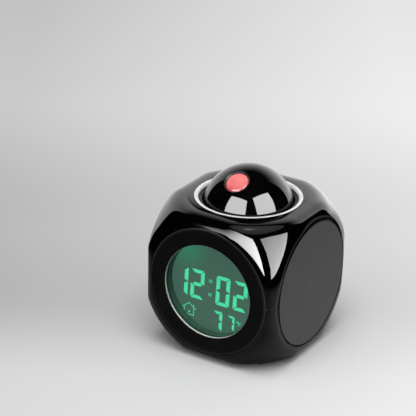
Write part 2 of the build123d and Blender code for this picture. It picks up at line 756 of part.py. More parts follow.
# speaker: a pressed frame with the magnet behind it and the cone inside
frame_back = -rear_thickness - speaker_depth
rim_bore = speaker_radius - speaker_rim
frame_bore = magnet_radius - 2 * magnet_seat
at_speaker = Pos(0, speaker_row, 0)
nodes["speaker_frame"] = rear * at_speaker * lathe([
    (rim_bore, -rear_thickness),
    (speaker_radius, -rear_thickness),
    (speaker_radius, -rear_thickness - speaker_rim),
    (magnet_radius + magnet_seat, frame_back),
    (frame_bore, frame_back),
    (frame_bore, frame_back + speaker_sheet),
    (magnet_radius + magnet_seat / 2, frame_back + speaker_sheet),
    (rim_bore, -rear_thickness - speaker_rim),
])
nodes["speaker_magnet"] = rear * at_speaker * drum(magnet_radius, frame_back - magnet_depth,
                                                   frame_back)
cone_low = frame_back + cone_rise
cone_high = -rear_thickness - cone_thickness
cone_outer = rim_bore - cone_gap
nodes["speaker_cone"] = rear * at_speaker * lathe([
    (0, cone_low + cone_thickness),
    (dust_cap_radius, cone_low),
    (cone_outer, cone_high - cone_thickness),
    (cone_outer, cone_high),
    (dust_cap_radius, cone_low + cone_thickness),
    (0, cone_low + 2 * cone_thickness),
])

nose_top = -jack_drop
jack = slab(jack_width, jack_height, -rear_thickness - jack_length, -rear_thickness, 0, jack_row)
jack += drum(jack_nose_radius, -rear_thickness, nose_top, 0, jack_row)
jack -= drum(jack_bore, nose_top - jack_depth, nose_top, 0, jack_row)
jack += drum(jack_pin, nose_top - jack_depth, nose_top - jack_pin_drop, 0, jack_row)
nodes["power_jack"] = rear * jack

# ---------------------------------------------------------------- batteries

door = rounded_slab(door_length - 2 * door_gap, door_width - 2 * door_gap,
                    door_corner - door_gap, bottom, door_top)
door = chamfer(door.edges().group_by(Axis.Z)[0], door_chamfer)
latch_place = door_length / 2 - latch_inset
for side in (-1, 1):
    door -= slab(latch_length, latch_slot, 0, door_top, latch_place, side * latch_width / 2)
for rib in (-1, 0, 1):
    door -= slab(grip_width, grip_length, 0, bottom + grip_depth, latch_place + rib * grip_pitch)
nodes["battery_door"] = door

# each contact plate bears on a cell's cap, and each bowed leaf on the other end
room = contact_room - contact_gap
bow = cap_of(leaf_reach, room - contact_thickness)
arc = Pos(0, room - bow) * (Circle(bow) - Circle(bow - contact_thickness))
arc &= Pos(0, room / 2) * Rectangle(2 * leaf_reach, room)
leaf_outline = arc + Pos(0, contact_thickness / 2) * Rectangle(contact_width, contact_thickness)
leaf = Rot(90, 0, 0) * extrude(leaf_outline, leaf_width / 2, both=True)
leaf = Pos(0, 0, -tray_length / 2) * leaf
plate = slab(plate_height, contact_width, tray_length / 2 - contact_thickness, tray_length / 2)
plate += drum(cap_radius, cell_length / 2 + contact_gap, tray_length / 2 - contact_thickness / 2)
cell_body_top = cell_length / 2 - cap_height
cell = drum(cell_radius, -cell_length / 2, cell_body_top)
cell = fillet(cell.edges().group_by(Axis.Z)[-1], cell_rounding)
cell += drum(cap_radius, cell_body_top, cell_length / 2)
cell_places = [Location((0, row * cell_pitch, cell_z)) * Rot(0, 90 if row else -90, 0)
               for row in (-1, 0, 1)]
nodes["battery_cells"] = [place * cell for place in cell_places]
nodes["positive_contacts"] = [place * plate for place in cell_places]
nodes["negative_contacts"] = [place * leaf for place in cell_places]

os.makedirs("parts", exist_ok=True)
for name, shape in nodes.items():
    pieces = shape if isinstance(shape, list) else [shape]
    solids = [solid for piece in pieces for solid in piece.solids()]
    node = solids[0] if len(solids) == 1 else Compound(children=solids)
    node.label = name
    export_step(node, f"parts/{name}.step")
    print(name, len(solids), "solid" if len(solids) == 1 else "solids")
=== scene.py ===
import math

import bmesh
import bpy
import numpy as np
from mathutils import Euler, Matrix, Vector


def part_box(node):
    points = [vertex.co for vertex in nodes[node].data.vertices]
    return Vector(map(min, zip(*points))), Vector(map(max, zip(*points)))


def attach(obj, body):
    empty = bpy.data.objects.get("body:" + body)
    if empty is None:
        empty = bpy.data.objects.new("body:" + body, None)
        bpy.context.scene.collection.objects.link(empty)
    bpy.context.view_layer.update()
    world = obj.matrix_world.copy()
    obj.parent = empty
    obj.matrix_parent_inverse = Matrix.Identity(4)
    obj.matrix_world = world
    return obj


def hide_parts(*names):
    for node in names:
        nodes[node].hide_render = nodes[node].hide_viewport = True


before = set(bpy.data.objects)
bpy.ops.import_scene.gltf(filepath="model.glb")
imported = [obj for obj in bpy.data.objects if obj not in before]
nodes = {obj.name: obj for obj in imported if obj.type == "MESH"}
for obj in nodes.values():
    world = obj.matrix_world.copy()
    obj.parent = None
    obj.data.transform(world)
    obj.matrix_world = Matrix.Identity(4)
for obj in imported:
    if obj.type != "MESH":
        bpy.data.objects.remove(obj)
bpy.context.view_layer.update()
millimetre = 0.001
print("clock: frame loaded with", len(nodes), "nodes")

camera = {
    "place": (0.43519, -0.73320, 0.45871),
    "azimuth": 32.116,
    "elevation": 24.324,
    "roll": 0.976,
    "lens": 154.0,
    "nearest": 0.01,
}

cameraData = bpy.data.cameras.new("studioCamera")
cameraData.lens = camera["lens"]
cameraData.clip_start = camera["nearest"]
cameraObject = bpy.data.objects.new("studioCamera", cameraData)
bpy.context.collection.objects.link(cameraObject)
turn = Euler((0, 0, math.radians(camera["azimuth"]))).to_matrix()
lean = Euler((math.radians(90 - camera["elevation"]), 0, 0)).to_matrix()
spin = Euler((0, 0, math.radians(camera["roll"]))).to_matrix()
cameraObject.rotation_euler = (turn @ lean @ spin).to_euler()
cameraObject.location = camera["place"]
bpy.context.scene.camera = cameraObject
bpy.context.scene.view_settings.view_transform = "Standard"


def screenColour(red, green, blue):
    # a colour as it looks on screen, turned into linear light by the usual screen curve
    parts = [channel / 255 for channel in (red, green, blue)]
    return tuple(c / 12.92 if c < 0.04 else ((c + 0.055) / 1.055) ** 2.4 for c in parts) + (1.0,)


def greyOf(level):
    return screenColour(level, level, level)


def addMesh(name, build):
    shape = bmesh.new()
    build(shape)
    mesh = bpy.data.meshes.new(name)
    shape.to_mesh(mesh)
    shape.free()
    thing = bpy.data.objects.new(name, mesh)
    bpy.context.collection.objects.link(thing)
    return thing


def direction(azimuth, elevation):
    # azimuth 0 is straight out of the display and grows towards the right side panel
    a, e = math.radians(azimuth), math.radians(elevation)
    return Vector((math.sin(a) * math.cos(e), -math.cos(a) * math.cos(e), math.sin(e)))


def nodeAdder(material):
    # empties the material's nodes and gives a function that adds one: what goes into its first
    # sockets comes in their order, and its settings and other sockets come by name
    material.use_nodes = True
    tree = material.node_tree
    tree.nodes.clear()

    def feed(socket, source):
        if hasattr(source, "links"):
            tree.links.new(source, socket)
        else:
            socket.default_value = source

    def add(kind, *sources, **settings):
        node = tree.nodes.new("ShaderNode" + kind)
        for key, value in settings.items():
            if hasattr(node, key):
                setattr(node, key, value)
                continue
            named = [socket for socket in node.inputs
                     if key in (socket.identifier, socket.name.replace(" ", "_"))]
            feed(named[0], value)
        for socket, source in zip(node.inputs, sources):
            feed(socket, source)
        return node

    return add


def ranged(add, source, start, stop, low=0.0, high=1.0, smooth=False):
    kind = "SMOOTHSTEP" if smooth else "LINEAR"
    scaled = add("MapRange", source, start, stop, low, high, interpolation_type=kind)
    return scaled.outputs["Result"]


def mixed(add, share, first, second):
    # a colour between two, each given as a colour or as a socket
    node = add("Mix", data_type="RGBA", Factor_Float=share, A_Color=first, B_Color=second)
    return [socket for socket in node.outputs if socket.type == "RGBA"][0]


def product(add, factors):
    total = factors[0]
    for factor in factors[1:]:
        total = add("Math", total, factor, operation="MULTIPLY").outputs[0]
    return total


# the two halves of the case are the part's own meshes with finer faces and with normals that
# flow from the round faces over the edges, so that nothing they mirror comes out ragged
case = {
    "halfWidth": 40.0,  # this and the next lengths are in millimetres
    "rolled": 7.5,
    "cornerSphere": 55.5,
    "middle": 41.0,
    "near": 0.06,  # how far from the rolled form a point may be to count as on it
    "longest": 3.0,  # edges on it above this are halved
    "softened": 4.5,
    "refinings": 4,
    "welded": 1e-6,
    "sharp": 30,
    "spokes": 8,
    "diagonal": (0.577, 0.577, -0.577),
    "agreeing": 0.97,  # faces that turn further away keep their own normals
    "halves": (("upper_shell", "upper_housing"), ("lower_shell", "lower_housing")),
}
cubeMiddle = (0, 0, case["middle"] * millimetre)


def fromCore(points, halvings=30):
    # the core is a cube cut by a sphere, and the case is what a ball rolled round it covers
    side = case["halfWidth"] - case["rolled"]
    reach = case["cornerSphere"] - case["rolled"]
    low, high = np.zeros(len(points)), np.ones(len(points))
    for halving in range(halvings):
        scale = (low + high) / 2
        spot = np.clip(points * scale[:, None], -side, side)
        outside = np.linalg.norm(spot, axis=1) > reach
        high = np.where(outside, scale, high)
        low = np.where(outside, low, scale)
    return points - np.clip(points * low[:, None], -side, side)


def unit(vectors):
    return vectors / np.linalg.norm(vectors, axis=1)[:, None]


def softNormals(points):
    # the mean of the form's normals on two circles around each point
    straight = unit(fromCore(points))
    first = unit(np.cross(straight, case["diagonal"]))
    second = np.cross(straight, first)
    total = straight.copy()
    for share in (0.5, 1.0):
        for spoke in range(case["spokes"]):
            angle = math.tau * (spoke + share) / case["spokes"]
            along = math.cos(angle) * first + math.sin(angle) * second
            total += unit(fromCore(points + share * case["softened"] * along))
    return unit(total)


def onOutside(mesh):
    # the mesh's points in millimetres from the middle, and which of them lie on the rolled form
    points = np.array([vertex.co for vertex in mesh.vertices]) / millimetre
    points[:, 2] -= case["middle"]
    depth = np.linalg.norm(fromCore(points), axis=1) - case["rolled"]
    return points, np.abs(depth) < case["near"]


def copyShell(name, node):
    mesh = nodes[node].data.copy()
    mesh.name = name
    thing = bpy.data.objects.new(name, mesh)
    bpy.context.collection.objects.link(thing)
    shape = bmesh.new()
    shape.from_mesh(mesh)
    bmesh.ops.remove_doubles(shape, verts=shape.verts, dist=case["welded"])
    shape.to_mesh(mesh)
    for refining in range(case["refinings"]):
        outside = onOutside(mesh)[1]
        shape.verts.ensure_lookup_table()
        shape.verts.index_update()
        long = [edge for edge in shape.edges
                if edge.calc_length() > case["longest"] * millimetre
                and all(outside[vertex.index] for vertex in edge.verts)]
        bmesh.ops.subdivide_edges(shape, edges=long, cuts=1)
        bmesh.ops.triangulate(shape, faces=[face for face in shape.faces if len(face.verts) > 3])
        shape.to_mesh(mesh)
    shape.free()
    for layer in [layer for layer in mesh.attributes if layer.name == "custom_normal"]:
        mesh.attributes.remove(layer)
    mesh.shade_smooth()
    mesh.set_sharp_from_angle(angle=math.radians(case["sharp"]))
    points, outside = onOutside(mesh)
    flowing = softNormals(points)
    exact = unit(fromCore(points))
    normals = [corner.vector.copy() for corner in mesh.corner_normals]
    for face in mesh.polygons:
        for loop in face.loop_indices:
            vertex = mesh.loops[loop].vertex_index
            if outside[vertex] and Vector(exact[vertex]).dot(face.normal) > case["agreeing"]:
                normals[loop] = Vector(flowing[vertex])
    mesh.normals_split_custom_set(normals)
    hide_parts(node)
    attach(thing, "case")
    return thing


shells = {name: copyShell(name, node) for name, node in case["halves"]}


def turned(name, look, sharp=40):
    # a round piece from its outline, given in millimetres as distance from the axis and height
    # along it
    centre, count = Vector(look["centre"]), look["segments"]
    along = Vector(look["axis"]).normalized()
    first = along.orthogonal().normalized()
    second = along.cross(first)

    def build(shape):
        loops = []
        for radius, height in look["outline"]:
            spots = [centre + along * height * millimetre
                     + (first * math.cos(a) + second * math.sin(a)) * radius * millimetre
                     for a in [math.tau * i / count for i in range(count)]]
            loops.append([shape.verts.new(spot) for spot in (spots if radius else spots[:1])])
        for low, high in zip(loops, loops[1:]):
            for i in range(count):
                j = (i + 1) % count
                around = [low[i % len(low)], low[j % len(low)], high[j % len(high)],
                          high[i % len(high)]]
                shape.faces.new(list(dict.fromkeys(around)))
        bmesh.ops.recalc_face_normals(shape, faces=shape.faces)

    thing = addMesh(name, build)
    thing.data.shade_smooth()
    thing.data.set_sharp_from_angle(angle=math.radians(sharp))
    return thing


# the bright band round the head's opening, a little lower on its inside
trimBand = {
    "outline": ((26.25, 79.65), (26.5, 80.5), (26.72, 80.86), (27.0, 81.04), (27.5, 81.12),
                (28.2, 81.13), (28.45, 81.1), (28.56, 81.05), (28.6, 81.0), (26.9, 81.0),
                (26.85, 79.62), (26.25, 79.65)),
    "centre": (0, 0, 0),
    "axis": (0, 0, 1),
    "segments": 160,
}
trim = turned("trim_band", trimBand)
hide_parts("trim_ring")
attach(trim, "case")

# the red lens, crowned, with a round edge
lensCap = {
    "outline": ((0, 24.02), (1.5, 23.97), (3.0, 23.82), (4.2, 23.6), (5.0, 23.36), (5.45, 23.14),
                (5.78, 22.86), (5.98, 22.5), (6.05, 22.1), (6.05, 21.95), (0, 21.95)),
    "centre": (0, 0, 0.0734),
    "axis": (0, -0.5299, 0.848),
    "segments": 96,
}
lens = turned("lens_cap", lensCap)
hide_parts("projection_lens")
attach(lens, "ball")

# the flat of the top as a thin plate of its own, because it mirrors fewer lights than the shells
topPlate = {"inner": 28.5, "proud": 0.02, "thick": 0.05, "segments": 180, "rings": 6,
            "facingUp": 0.9}


def buildTopPlate(shape):
    side = case["halfWidth"] - case["rolled"]
    bend = math.sqrt((case["cornerSphere"] - case["rolled"]) ** 2 - side ** 2)
    height = case["middle"] + case["halfWidth"] + topPlate["proud"]
    rings = []
    for share in [i / topPlate["rings"] for i in range(topPlate["rings"] + 1)]:
        rings.append([])
        for i in range(topPlate["segments"]):
            angle = math.tau * i / topPlate["segments"]
            outer = min(side / max(abs(math.cos(angle)), abs(math.sin(angle))), bend)
            radius = topPlate["inner"] + share * (outer - topPlate["inner"])
            rings[-1].append(Vector((radius * math.cos(angle), radius * math.sin(angle), height)))
    down = Vector((0, 0, topPlate["thick"]))
    rings += [[spot - down for spot in rings[-1]], [spot - down for spot in rings[0]]]
    loops = [[shape.verts.new(spot * millimetre) for spot in ring] for ring in rings]
    for low, high in zip(loops, loops[1:] + loops[:1]):
        for i, j in zip(range(len(low)), [*range(1, len(low)), 0]):
            shape.faces.new((low[i], high[i], high[j], low[j]))
    bmesh.ops.recalc_face_normals(shape, faces=shape.faces)


plate = addMesh("top_plate", buildTopPlate)
plate.data.shade_smooth()
plate.data.set_sharp_from_angle(angle=math.radians(case["sharp"]))
plateSpots = np.array([vertex.co for vertex in plate.data.vertices]) / millimetre
plateSpots[:, 2] = case["halfWidth"]
plateNormals = softNormals(plateSpots)
plate.data.normals_split_custom_set(
    [plateNormals[plate.data.loops[loop].vertex_index] if face.normal.z > topPlate["facingUp"]
     else plate.data.corner_normals[loop].vector
     for face in plate.data.polygons for loop in face.loop_indices])
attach(plate, "case")
made = {"trim_band": trim, "lens_cap": lens, "top_plate": plate, **shells}
print("clock: case, trim band, lens and top plate made")

# cards that only the shiny parts mirror; the case and the head have cards of their own, because
# the cards hang close; corners are directions in azimuth and elevation
cards = {"reach": 1.3, "height": 0.06}
domeLeftCard = {
    "corners": ((-29, 43.2), (26, 43.2), (23, 4), (-29.5, 2)),
    "along": (1, 0, 0),
    "glow": (13.5, 14.5),
}
domeRightCard = {
    "corners": ((45.5, 49.6), (107.5, 46.4), (101.4, 1), (53.6, 4)),
    "along": (1, 0, 0),
    "glow": (14.5, 13.5),
}
caseLeftCard = {
    "corners": ((-33.5, 31.5), (-44, 53), (-15, 57.5), (17.5, 54.5), (36, 51.5), (38, 40.7),
                (35.7, 29.3), (29.6, 16), (17.7, -3.4), (4, 4), (-22, 4), (-29, 17)),
    "along": (1, 0, -0.49),
    "glow": (0.5, 26.0),
}
caseRightCard = {
    "corners": ((51.8, 52.1), (80.7, 52.1), (103.8, 47.7), (95.2, 32.4), (92.6, 13.9),
                (86.7, 7.1), (50.8, -2.3), (53.9, 19.5), (55, 35.7)),
    "along": (1, 0, 0),
    "glow": (5.6, 14.8),
}

caseParts = list(shells.values())
headParts = [trim, lens] + [nodes[name] for name in ("ball_upper", "ball_lower", "lens_ring")]
cardLift = Vector((0, 0, cards["height"]))


def glowing(name, strength):
    # a lamp whose strength follows from the place on it; it is clear, so that one card doesn't
    # hide another
    material = bpy.data.materials.new(name)
    add = nodeAdder(material)
    place = add("TexCoord").outputs["Object"]
    lamp = add("Emission", Color=(1, 1, 1, 1), Strength=strength(add, place))
    both = add("AddShader", lamp.outputs[0], add("BsdfTransparent").outputs[0])
    add("OutputMaterial", both.outputs[0])
    return material


def mirroredBy(thing, parts):
    # the given parts mirror it, and nothing else sees it or is lit by it
    thing.visible_camera = False
    thing.visible_diffuse = False
    thing.visible_shadow = False
    thing.visible_transmission = False
    receivers = bpy.data.collections.new(thing.name + "SeenBy")
    for part in parts:
        receivers.objects.link(part)
    thing.light_linking.receiver_collection = receivers


def hangCard(name, card, parts):
    def build(shape):
        corners = [direction(*corner) * cards["reach"] + cardLift for corner in card["corners"]]
        face = shape.faces.new([shape.verts.new(corner) for corner in corners])
        bmesh.ops.triangulate(shape, faces=[face])

    thing = addMesh(name, build)
    places = [vertex.co.dot(Vector(card["along"])) for vertex in thing.data.vertices]

    def strength(add, place):
        along = add("VectorMath", place, card["along"], operation="DOT_PRODUCT").outputs["Value"]
        return ranged(add, along, min(places), max(places), *card["glow"])

    thing.data.materials.append(glowing(name + "Glow", strength))
    mirroredBy(thing, parts)


hangCard("domeLeftCard", domeLeftCard, headParts)
hangCard("domeRightCard", domeRightCard, headParts)
hangCard("caseLeftCard", caseLeftCard, caseParts)
hangCard("caseRightCard", caseRightCard, caseParts)

# a dim round cloth straight above, with a brighter spot in its middle
overheadCard = {
    "edge": 64.0,
    "steps": 32,
    "rings": 4,
    "glow": (0, 0.57, 0.9, 0.45),
    "spot": (0.02, 0.16, 2.6, 0.0),
}


def buildOverhead(shape):
    edge, steps, rings = [overheadCard[key] for key in ("edge", "steps", "rings")]
    loops = []
    for ring in range(rings):
        tilt = edge + (90 - edge) * ring / rings
        loops.append([shape.verts.new(direction(360 * step / steps, tilt) * cards["reach"]
                                      + cardLift) for step in range(steps)])
    for outer, inner in zip(loops, loops[1:]):
        for i in range(steps):
            j = (i + 1) % steps
            shape.faces.new((outer[i], outer[j], inner[j], inner[i]))
    shape.faces.new(loops[-1])


def clothGlow(add, place):
    flat = add("VectorMath", place, (1, 1, 0), operation="MULTIPLY").outputs[0]
    reach = add("VectorMath", flat, operation="LENGTH").outputs["Value"]
    cloth = ranged(add, reach, *overheadCard["glow"])
    spot = ranged(add, reach, *overheadCard["spot"], smooth=True)
    return add("Math", cloth, spot, operation="ADD").outputs[0]


cloth = addMesh("overheadCard", buildOverhead)
cloth.data.materials.append(glowing("overheadCardGlow", clothGlow))
mirroredBy(cloth, caseParts + [plate])

# the pale sweep behind the clock, floor and wall in one, bright to the right and low down; each
# group of parts mirrors one of its own, and they are set apart so that none touches another
sweep = {
    "radius": 1.6,
    "from": 152.0,
    "to": 259.0,
    "steps": 48,
    "near": 0.08,
    "lift": 0.0005,
    "liftPower": 20,
    "outwards": (0.08, 0.6, 0.3, 0.85),
    "sideways": (0.847, 0.532, 0),
}
caseSweep = {"apart": 1.03, "across": (-0.5, -0.2, 1.6, 2.7), "down": (0.1, 2.7, 1.0, 0.0)}
headSweep = {"apart": 1.0, "across": (-0.36, 0.02, 1.6, 2.35), "down": (0.1, 2.0, 1.0, 0.0)}
# the top plate's own is dark behind the head, from a certain height
plateSweep = {**caseSweep, "apart": 1.06, "partedAt": 0.03, "parted": (0.08, 0.12),
              "above": (0.83, 0.86, 1.0, 0.0)}


def buildSweep(shape, look):
    low = sweep["lift"] * look["apart"] ** sweep["liftPower"]
    top = look["down"][1]
    rows = []
    for step in range(sweep["steps"] + 1):
        azimuth = sweep["from"] + (sweep["to"] - sweep["from"]) * step / sweep["steps"]
        out = direction(azimuth, 0) * look["apart"]
        rows.append([shape.verts.new(out * reach + Vector((0, 0, height))) for reach, height in (
            (sweep["near"], low), (sweep["radius"], low), (sweep["radius"], top))])
    for first, second in zip(rows, rows[1:]):
        for i in range(2):
            shape.faces.new((first[i], second[i], second[i + 1], first[i + 1]))


def sweepGlow(add, place, look):
    split = add("SeparateXYZ", place).outputs
    flat = add("CombineXYZ", split["X"], split["Y"]).outputs[0]
    reach = add("VectorMath", flat, operation="LENGTH").outputs["Value"]
    facing = add("VectorMath", flat, operation="NORMALIZE").outputs[0]
    factors = [ranged(add, add("SeparateXYZ", facing).outputs["X"], *look["across"], True),
               ranged(add, split["Z"], *look["down"], True),
               ranged(add, reach, *sweep["outwards"])]
    if "parted" in look:
        beside = add("VectorMath", place, sweep["sideways"], operation="DOT_PRODUCT")
        shifted = add("Math", beside.outputs["Value"], look["partedAt"], operation="SUBTRACT")
        away = add("Math", shifted.outputs[0], operation="ABSOLUTE").outputs[0]
        outside = ranged(add, away, *look["parted"])
        below = ranged(add, split["Z"], *look["above"])
        factors.append(add("Math", outside, below, operation="MAXIMUM").outputs[0])
    return product(add, factors)


def hangSweep(name, look, parts):
    thing = addMesh(name, lambda shape: buildSweep(shape, look))
    glow = glowing(name + "Glow", lambda add, place: sweepGlow(add, place, look))
    thing.data.materials.append(glow)
    mirroredBy(thing, parts)


hangSweep("caseSweep", caseSweep, caseParts)
hangSweep("plateSweep", plateSweep, [plate])
hangSweep("headSweep", headSweep, [trim, lens, *nodes.values()])

# the level of grey that the camera sees, and how strongly matt and shiny parts are lit
skyLight = {"seen": 222, "diffuse": 0.55, "mirrored": 0.0}

world = bpy.data.worlds.new("studioWorld")
bpy.context.scene.world = world
add = nodeAdder(world)
path = add("LightPath").outputs
seenSky = add("Background", Color=greyOf(skyLight["seen"]), Strength=1.0)
diffuseSky = add("Background", Color=(1, 1, 1, 1), Strength=skyLight["diffuse"])
mirroredSky = add("Background", Color=(1, 1, 1, 1), Strength=skyLight["mirrored"])
litSky = add("MixShader", path["Is Glossy Ray"], diffuseSky.outputs[0], mirroredSky.outputs[0])
wholeSky = add("MixShader", path["Is Camera Ray"], litSky.outputs[0], seenSky.outputs[0])
add("OutputWorld", wholeSky.outputs[0])

keyLight = {"place": (0.25, -0.35, 1.5), "aim": (0, 0, 0.03), "size": 1.1, "power": 16.0}

lampData = bpy.data.lights.new("overheadLight", "AREA")
lampData.shape = "DISK"
lampData.size = keyLight["size"]
lampData.energy = keyLight["power"]
overhead = bpy.data.objects.new("overheadLight", lampData)
bpy.context.collection.objects.link(overhead)
overhead.location = keyLight["place"]
aim = Vector(keyLight["aim"]) - overhead.location
overhead.rotation_euler = aim.to_track_quat("-Z", "Y").to_euler()
overhead.visible_glossy = False

# the floor is painted with light and shade: paler to the right, in front and far behind, and
# darker beside the clock as a painted soft shadow; places are in metres away from the camera's
# side, with the level of grey on the left and on the right; the shiny parts mirror another floor,
# pale near the clock and dark further out
floorPaint = {
    "size": 6.0,
    "turned": 32.1,
    "across": (-0.16, 0.12),
    "away": (-0.1, 0.5),
    "levels": ((-0.06, 204, 231), (0.04, 172, 212), (0.14, 179, 218), (0.36, 202, 238)),
    "mirrored": (0.11, 0.2, 18),
    "mirroredNear": (0.0, 124, 0.06, 176),
}


def buildFloor(shape):
    reach = floorPaint["size"] / 2
    places = ((-reach, -reach), (reach, -reach), (reach, reach), (-reach, reach))
    shape.faces.new([shape.verts.new((x, y, 0)) for x, y in places])


def floorRamp(add, away, side):
    # the floor's greys one behind the other, on the left as side 1 or on the right as side 2
    ramp = add("ValToRGB", away)
    ramp.color_ramp.interpolation = "EASE"
    start, stop = floorPaint["away"]
    steps = ramp.color_ramp.elements
    for i, level in enumerate(floorPaint["levels"]):
        position = (level[0] - start) / (stop - start)
        step = steps[i] if i < 2 else steps.new(position)  # a new ramp has two steps
        step.position = position
        step.color = greyOf(level[side])
    return ramp.outputs["Color"]


def paintedFloor():
    material = bpy.data.materials.new("floorPaint")
    add = nodeAdder(material)
    place = add("TexCoord").outputs["Object"]
    rotated = add("VectorRotate", rotation_type="Z_AXIS", Vector=place,
                  Angle=-math.radians(floorPaint["turned"])).outputs["Vector"]
    split = add("SeparateXYZ", rotated).outputs
    across = ranged(add, split["X"], *floorPaint["across"])
    away = ranged(add, split["Y"], *floorPaint["away"])
    # painted light and shade on the floor the camera sees: darker beside the clock, paler to the
    # right
    pale = mixed(add, across, floorRamp(add, away, 1), floorRamp(add, away, 2))
    near, far, farLevel = floorPaint["mirrored"]
    left, leftLevel, right, rightLevel = floorPaint["mirroredNear"]
    nearby = mixed(add, ranged(add, split["X"], left, right), greyOf(leftLevel),
                   greyOf(rightLevel))
    reach = add("VectorMath", place, operation="LENGTH").outputs["Value"]
    dark = mixed(add, ranged(add, reach, near, far, smooth=True), nearby, greyOf(farLevel))
    shown = add("BsdfDiffuse", Color=pale).outputs[0]
    hidden = add("BsdfDiffuse", Color=dark).outputs[0]
    pick = add("MixShader", add("LightPath").outputs["Is Camera Ray"], hidden, shown)
    add("OutputMaterial", pick.outputs[0])
    return material


floor = addMesh("floor", buildFloor)
floor.data.materials.append(paintedFloor())
print("clock: camera, lights and floor set")

noiseSpan = (0.3, 0.7)  # where nearly all of a noise's values lie


def mottle(add, scale, detail=3.0):
    # soft noise fixed to the part, with its scale in cells per metre
    place = add("TexCoord").outputs["Object"]
    return add("TexNoise", Vector=place, Scale=scale, Detail=detail).outputs[0]


def shades(add, source, dark, light):
    ramp = add("ValToRGB", source)
    for step, position, colour in zip(ramp.color_ramp.elements, noiseSpan, (dark, light)):
        step.position = position
        step.color = colour
    return ramp.outputs["Color"]


def measured(add, way):
    # the place along an axis, or the distance from that axis where it is drawn through the middle
    # of the cube
    place = add("TexCoord").outputs["Object"]
    if way.startswith("along"):
        return add("SeparateXYZ", place).outputs[way[-1]]
    across = [0 if axis == way[-1] else 1 for axis in "XYZ"]
    offset = add("VectorMath", place, cubeMiddle, operation="SUBTRACT").outputs[0]
    flat = add("VectorMath", offset, across, operation="MULTIPLY").outputs[0]
    return add("VectorMath", flat, operation="LENGTH").outputs["Value"]


def moulded(name, look, **settings):
    # plastic, rubber or sheet metal: two shades, a spread of roughness and, where the look has
    # them, a fine grain and bands; a band's colour comes in from its first distance to its second,
    # in metres, and stays from there on
    material = bpy.data.materials.new(name)
    add = nodeAdder(material)
    clouds = mottle(add, look["cloudScale"], detail=2.0)
    colour = shades(add, clouds, screenColour(*look["dark"]), screenColour(*look["light"]))
    for way, start, stop, band in look.get("bands", ()):
        share = ranged(add, measured(add, way), start, stop)
        colour = mixed(add, share, colour, screenColour(*band))
    if "grainDepth" in look:
        grain = mottle(add, look["grainScale"])
        bump = add("Bump", Strength=1.0, Distance=look["grainDepth"], Height=grain)
        settings["Normal"] = bump.outputs[0]
    roughness = ranged(add, clouds, *noiseSpan, *look["roughness"])
    shader = add("BsdfPrincipled", Base_Color=colour, Roughness=roughness, **settings)
    add("OutputMaterial", shader.outputs[0])
    return material


def dress(material, *names):
    for name in names:
        thing = made[name] if name in made else nodes[name]
        thing.data.materials.clear()
        thing.data.materials.append(material)


# a painted highlight: the rims round the side discs are a little lighter, in a thin band just
# outside each disc
glossCase = {"dark": (3, 3, 4), "light": (9, 9, 10), "roughness": (0.02, 0.05),
             "cloudScale": 60,
             "bands": (("roundX", 0.0352, 0.0354, (50, 50, 51)),
                       ("roundX", 0.0363, 0.0366, (3, 3, 4)))}
dress(moulded("glossCase", glossCase, IOR=1.5), "upper_shell", "lower_shell", "top_plate")

glossBall = {"dark": (3, 3, 4), "light": (9, 9, 10), "roughness": (0.02, 0.05),
             "cloudScale": 80}
dress(moulded("glossBall", glossBall, IOR=1.5), "ball_upper", "ball_lower")

# painted highlights: a lighter zone round the bezel's outer part and a bright line at its very
# edge
mattBezel = {"dark": (16, 16, 16), "light": (24, 24, 24), "roughness": (0.5, 0.6),
             "cloudScale": 90, "grainScale": 2500, "grainDepth": 0.00001,
             "bands": (("roundY", 0.034, 0.0341, (44, 44, 44)),
                       ("roundY", 0.03488, 0.03494, (70, 70, 70)))}
dress(moulded("mattBezel", mattBezel, Specular_IOR_Level=0.12), "front_bezel")

mattInside = {"dark": (20, 20, 21), "light": (30, 30, 31), "roughness": (0.4, 0.55),
              "cloudScale": 90, "grainScale": 2500, "grainDepth": 0.00001}
dress(moulded("mattInside", mattInside), "head_cup", "lens_ring", "lens_barrel", "battery_door",
      "switch_bridge", "rear_panel", "speaker_frame")

# painted shade: a thin dark ring at each disc's edge, standing in for the shadowed gap to the case
sideDisc = {"dark": (94, 93, 95), "light": (102, 101, 103), "roughness": (0.5, 0.65),
            "cloudScale": 70, "grainScale": 3000, "grainDepth": 0.00001,
            "bands": (("roundX", 0.0333, 0.0336, (4, 4, 4)),)}
dress(moulded("sideDisc", sideDisc, Specular_IOR_Level=0.2), "left_side_panel",
      "right_side_panel")

softButton = {"dark": (128, 128, 130), "light": (142, 142, 144), "roughness": (0.4, 0.55),
              "cloudScale": 300, "grainScale": 4000, "grainDepth": 0.00001}
dress(moulded("softButton", softButton), "mode_button", "set_button", "down_button", "up_button",
      "projector_knob")

brightRing = {"dark": (212, 212, 214), "light": (228, 228, 230), "roughness": (0.2, 0.3),
              "cloudScale": 200}
dress(moulded("brightRing", brightRing), "trim_band")

# the ring round the window is bright on its inside near the front; painted shade makes it dull
# beyond its inner edge, and painted light from the lit panel tints its inside further back green
windowRing = {"dark": (206, 208, 207), "light": (222, 224, 223), "roughness": (0.3, 0.4),
              "cloudScale": 200,
              "bands": (("roundY", 0.02583, 0.02588, (46, 50, 48)),
                        ("alongY", -0.03885, -0.0386, (58, 84, 72)))}
dress(moulded("windowRing", windowRing, Specular_IOR_Level=0.3), "display_ring")

# painted light: the shroud and the backlight panel are coloured green as if lit by the display's
# glow
tunnelGreenLight = {"dark": (54, 92, 75), "light": (62, 102, 84), "roughness": (0.5, 0.6),
                 "cloudScale": 150, "grainScale": 3000, "grainDepth": 0.00001}
dress(moulded("tunnelGreenLight", tunnelGreenLight), "display_shroud", "backlight_panel")

